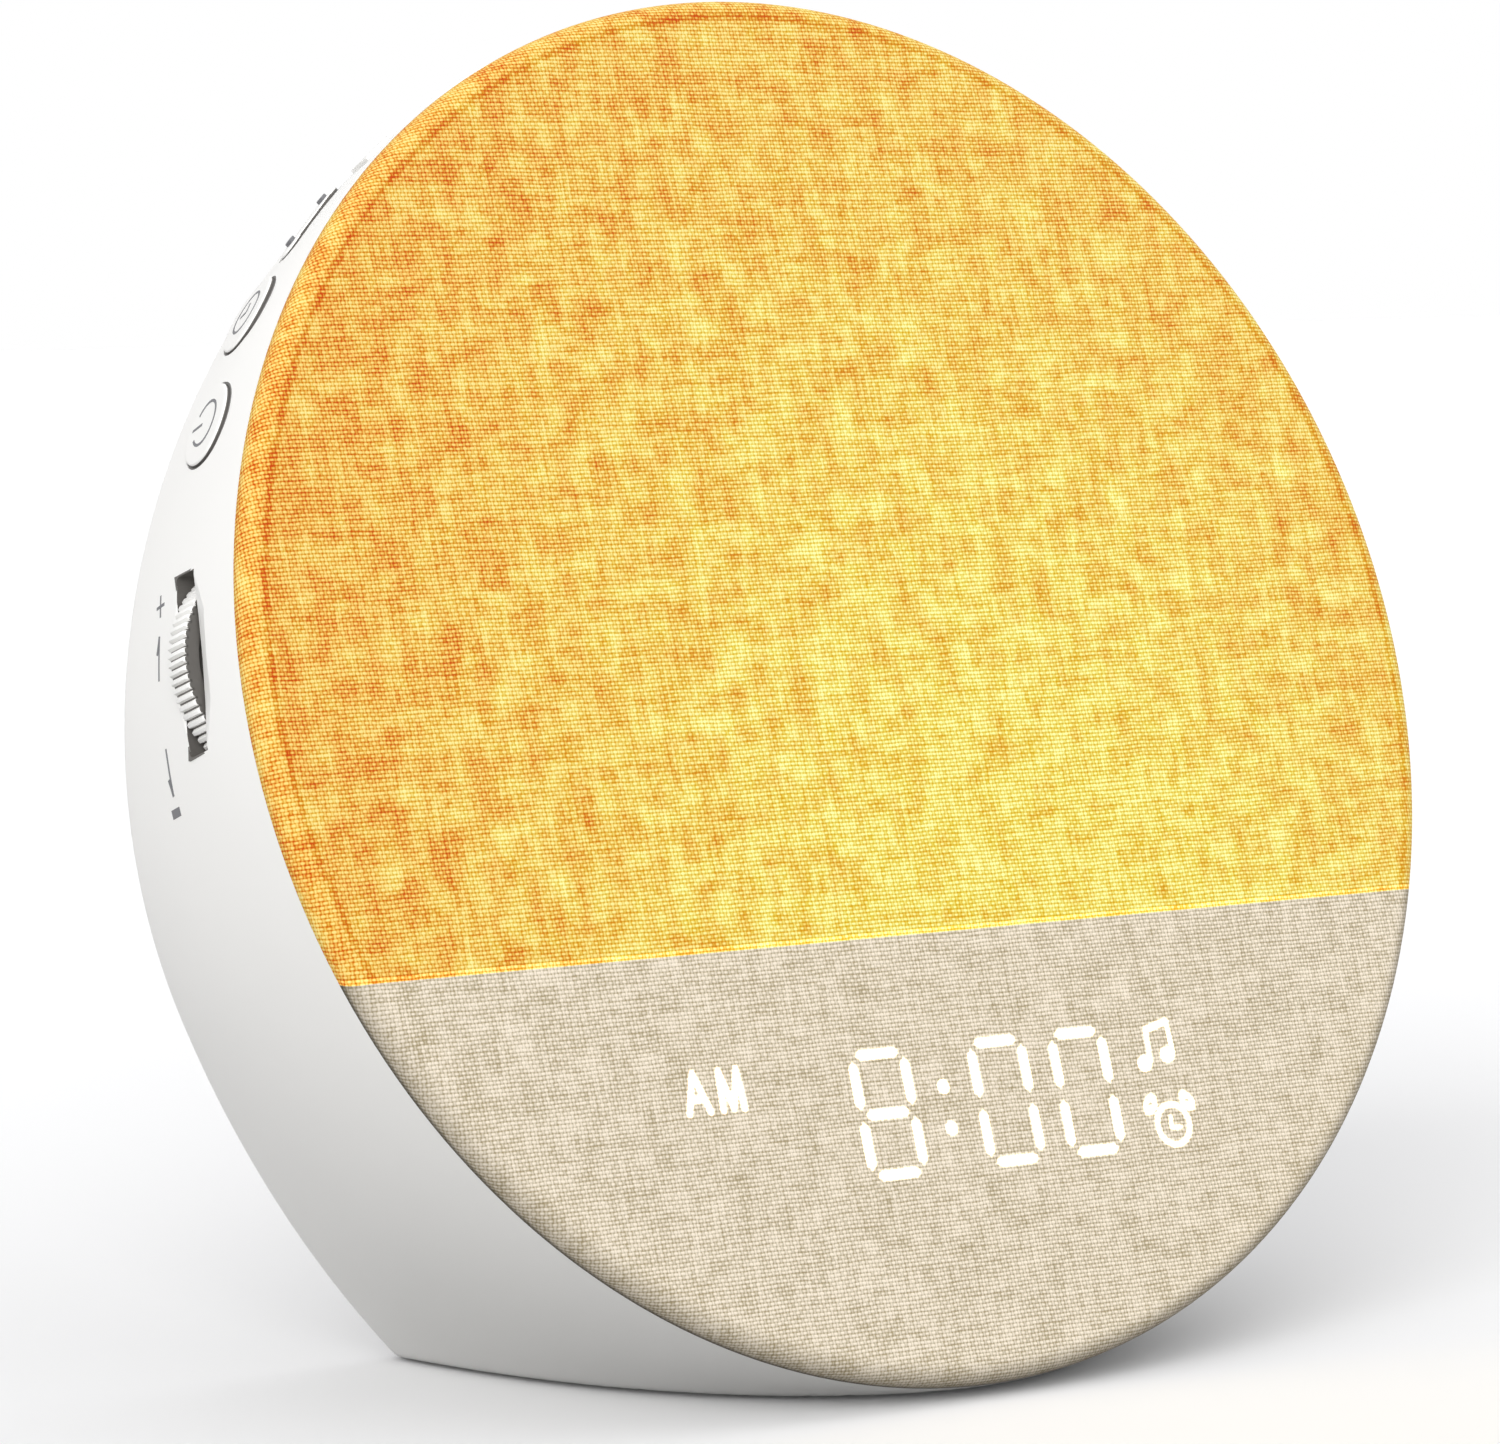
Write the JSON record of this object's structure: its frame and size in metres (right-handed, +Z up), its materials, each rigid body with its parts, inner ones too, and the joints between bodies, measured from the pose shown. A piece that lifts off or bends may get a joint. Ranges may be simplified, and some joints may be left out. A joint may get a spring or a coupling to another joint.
{
  "type": "sunrise alarm clock",
  "caption": "Round fabric-faced wake-up light and alarm clock leaning back on a flat foot, with side buttons, volume rocker, snooze bar and ribbed dimmer wheel.",
  "frame": {"origin": "on the surface the clock stands on, under the middle of its bounding box", "axes": "+X to the right as seen from the front, +Y to the rear, +Z up; the face looks along -Y and leans back 18.4 degrees"},
  "size_m": [0.1606, 0.0616, 0.1534],
  "materials": {
    "linen": "plain-woven linen-look cloth, lit from behind",
    "white_plastic": "fine satin white ABS",
    "diffuser": "opal acrylic sheet, lit from behind",
    "black_plastic": "black moulded plastic",
    "tray_white": "reflective white moulding",
    "board": "green solder mask on glass laminate",
    "led": "yellow phosphor in a white package",
    "screw_steel": "bright zinc-plated steel",
    "grey_plastic": "dark grey moulded panel",
    "display_white": "clear light guide, lit white",
    "foot_rubber": "soft black rubber",
    "basket_steel": "pressed steel, black coat",
    "magnet": "sintered ferrite",
    "cone_paper": "pressed grey paper"
  },
  "bodies": {
    "clock": {"fabric_cover": "linen", "front_frame": "white_plastic", "light_diffuser": "diffuser", "light_partition": "black_plastic", "reflector_tray": "tray_white", "led_board": "board", "leds": "led", "led_board_screws": "screw_steel", "display_panel": "grey_plastic", "digit_module": "black_plastic", "digit_segments": "display_white", "icon_windows": "display_white", "display_board": "board", "display_board_screws": "screw_steel", "housing": "white_plastic", "rear_cover": "white_plastic", "rear_screws": "screw_steel", "rubber_feet": "foot_rubber", "button_board": "board", "switch_bodies": "black_plastic", "button_board_screws": "screw_steel", "rocker_pin": "screw_steel", "dimmer_pot": "black_plastic", "dimmer_board": "board", "dimmer_screws": "screw_steel", "speaker_basket": "basket_steel", "speaker_magnet": "magnet", "speaker_cone": "cone_paper", "speaker_surround": "foot_rubber", "speaker_gasket": "foot_rubber", "speaker_screws": "screw_steel", "main_board": "board", "board_chips": "black_plastic", "main_board_screws": "screw_steel", "power_jack": "black_plastic", "jack_nut": "screw_steel", "battery_holder": "black_plastic", "coin_cell": "screw_steel", "battery_door": "white_plastic", "battery_door_screw": "screw_steel"},
    "power_button": {"power_button": "white_plastic", "power_plunger": "black_plastic"},
    "alarm_button": {"alarm_button": "white_plastic", "alarm_plunger": "black_plastic"},
    "volume_rocker": {"volume_rocker": "white_plastic", "rocker_plungers": "black_plastic"},
    "snooze_bar": {"snooze_bar": "white_plastic", "snooze_plungers": "black_plastic"},
    "dimmer_wheel": {"dimmer_wheel": "white_plastic", "dimmer_shaft": "screw_steel"}
  },
  "joints": [
    {"name": "power_button_press", "type": "slide", "parent": "clock", "child": "power_button", "axis": [0.8965, -0.1399, -0.4204], "range_m": [0, 0.0005], "stiffness_N_per_m": 1500, "springref_m": -0.0004},
    {"name": "alarm_button_press", "type": "slide", "parent": "clock", "child": "alarm_button", "axis": [0.8007, -0.1891, -0.5684], "range_m": [0, 0.0005], "stiffness_N_per_m": 1500, "springref_m": -0.0004},
    {"name": "volume_rocker_tilt", "type": "hinge", "parent": "clock", "child": "volume_rocker", "pos_m": [-0.05176, 0.02323, 0.12595], "axis": [0, -0.9489, 0.3156], "range_deg": [-3, 3], "stiffness_Nm_per_rad": 0.06},
    {"name": "snooze_bar_press", "type": "slide", "parent": "clock", "child": "snooze_bar", "axis": [0, -0.3156, -0.9489], "range_m": [0, 0.0008], "stiffness_N_per_m": 1200, "springref_m": -0.0005},
    {"name": "dimmer_wheel_turn", "type": "hinge", "parent": "clock", "child": "dimmer_wheel", "pos_m": [-0.06806, 0.00998, 0.08104], "axis": [0, -0.9489, 0.3156], "range_deg": [-135, 135]}
  ]
}
